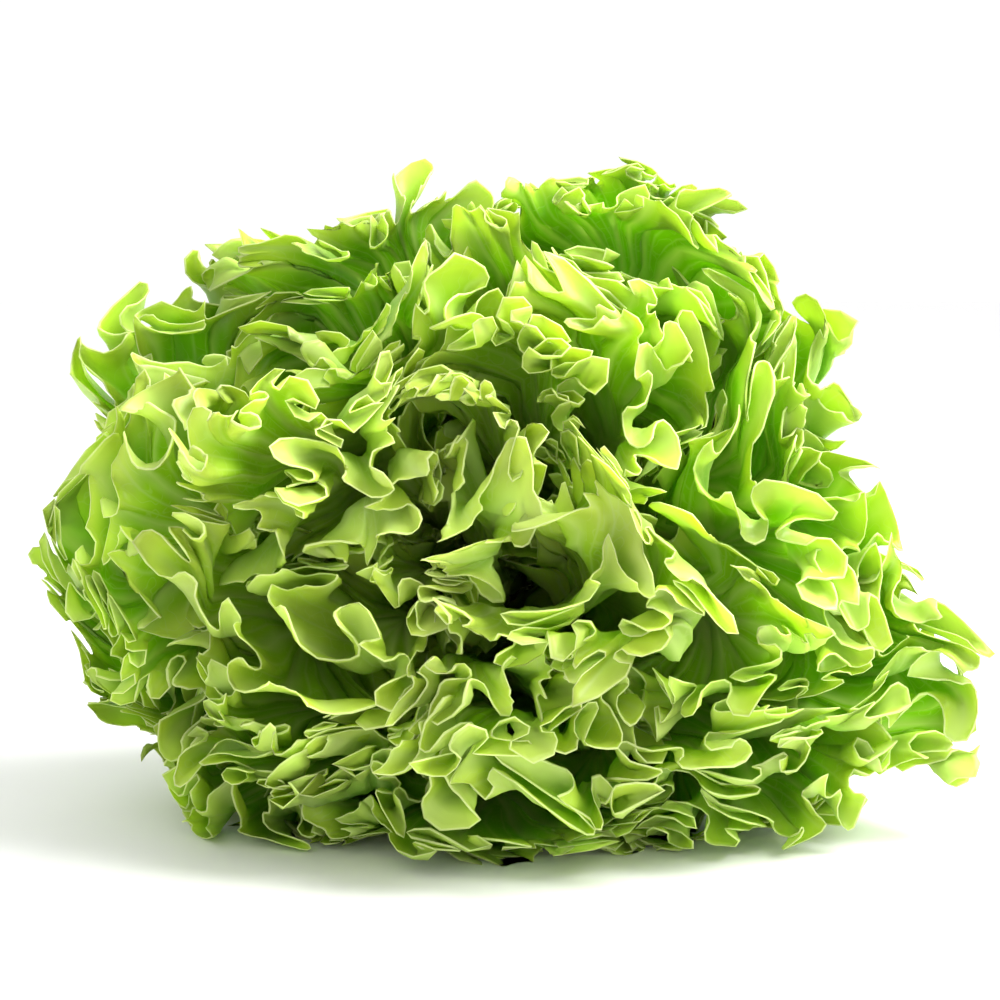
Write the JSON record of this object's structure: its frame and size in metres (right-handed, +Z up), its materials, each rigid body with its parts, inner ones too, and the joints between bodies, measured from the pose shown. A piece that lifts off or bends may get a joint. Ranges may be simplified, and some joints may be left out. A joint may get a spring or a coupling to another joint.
{
  "type": "green leaf lettuce",
  "caption": "Head of green leaf lettuce lying as cut: a short stem inside rings of leaves with deeply ruffled, curled margins, pressed flat underneath where it rests.",
  "frame": {"origin": "on the table, under the middle of the head's bounding box", "axes": "+Z up; the ruffled leaf tips face -Y and the cut stem end points to +Y; +X runs across the head, to the right as seen from the front"},
  "size_m": [0.3084, 0.22, 0.214],
  "materials": {
    "stem_flesh": "pale greenish white stem flesh, moist and matt",
    "heart_leaf_blade": "pale yellow-green leaf, slightly waxy and translucent",
    "bud_leaf_blade": "pale yellow-green leaf, slightly waxy and translucent",
    "inner_leaf_blade": "yellow-green leaf, slightly waxy and translucent",
    "young_leaf_blade": "yellow-green leaf, slightly waxy and translucent",
    "middle_leaf_blade": "fresh green leaf, slightly waxy and translucent",
    "broad_leaf_blade": "fresh green leaf, slightly waxy and translucent",
    "outer_leaf_blade": "fresh green leaf, slightly waxy and translucent",
    "wrapper_leaf_blade": "fresh green leaf, slightly waxy and translucent"
  },
  "bodies": {
    "root": {"cut_stem": "stem_flesh", "heart_leaf_1": "heart_leaf_blade", "heart_leaf_2": "heart_leaf_blade", "heart_leaf_3": "heart_leaf_blade", "bud_leaf_1": "bud_leaf_blade", "bud_leaf_2": "bud_leaf_blade", "bud_leaf_3": "bud_leaf_blade", "bud_leaf_4": "bud_leaf_blade", "inner_leaf_1": "inner_leaf_blade", "inner_leaf_2": "inner_leaf_blade", "inner_leaf_3": "inner_leaf_blade", "inner_leaf_4": "inner_leaf_blade", "inner_leaf_5": "inner_leaf_blade", "young_leaf_1": "young_leaf_blade", "young_leaf_2": "young_leaf_blade", "young_leaf_3": "young_leaf_blade", "young_leaf_4": "young_leaf_blade", "young_leaf_5": "young_leaf_blade", "young_leaf_6": "young_leaf_blade", "middle_leaf_1": "middle_leaf_blade", "middle_leaf_2": "middle_leaf_blade", "middle_leaf_3": "middle_leaf_blade", "middle_leaf_4": "middle_leaf_blade", "middle_leaf_5": "middle_leaf_blade", "middle_leaf_6": "middle_leaf_blade", "broad_leaf_1": "broad_leaf_blade", "broad_leaf_2": "broad_leaf_blade", "broad_leaf_3": "broad_leaf_blade", "broad_leaf_4": "broad_leaf_blade", "broad_leaf_5": "broad_leaf_blade", "broad_leaf_6": "broad_leaf_blade", "broad_leaf_7": "broad_leaf_blade", "outer_leaf_1": "outer_leaf_blade", "outer_leaf_2": "outer_leaf_blade", "outer_leaf_3": "outer_leaf_blade", "outer_leaf_4": "outer_leaf_blade", "outer_leaf_5": "outer_leaf_blade", "outer_leaf_6": "outer_leaf_blade", "outer_leaf_7": "outer_leaf_blade", "wrapper_leaf_1": "wrapper_leaf_blade", "wrapper_leaf_2": "wrapper_leaf_blade", "wrapper_leaf_3": "wrapper_leaf_blade", "wrapper_leaf_4": "wrapper_leaf_blade", "wrapper_leaf_5": "wrapper_leaf_blade", "wrapper_leaf_6": "wrapper_leaf_blade", "wrapper_leaf_7": "wrapper_leaf_blade", "wrapper_leaf_8": "wrapper_leaf_blade"}
  },
  "joints": []
}
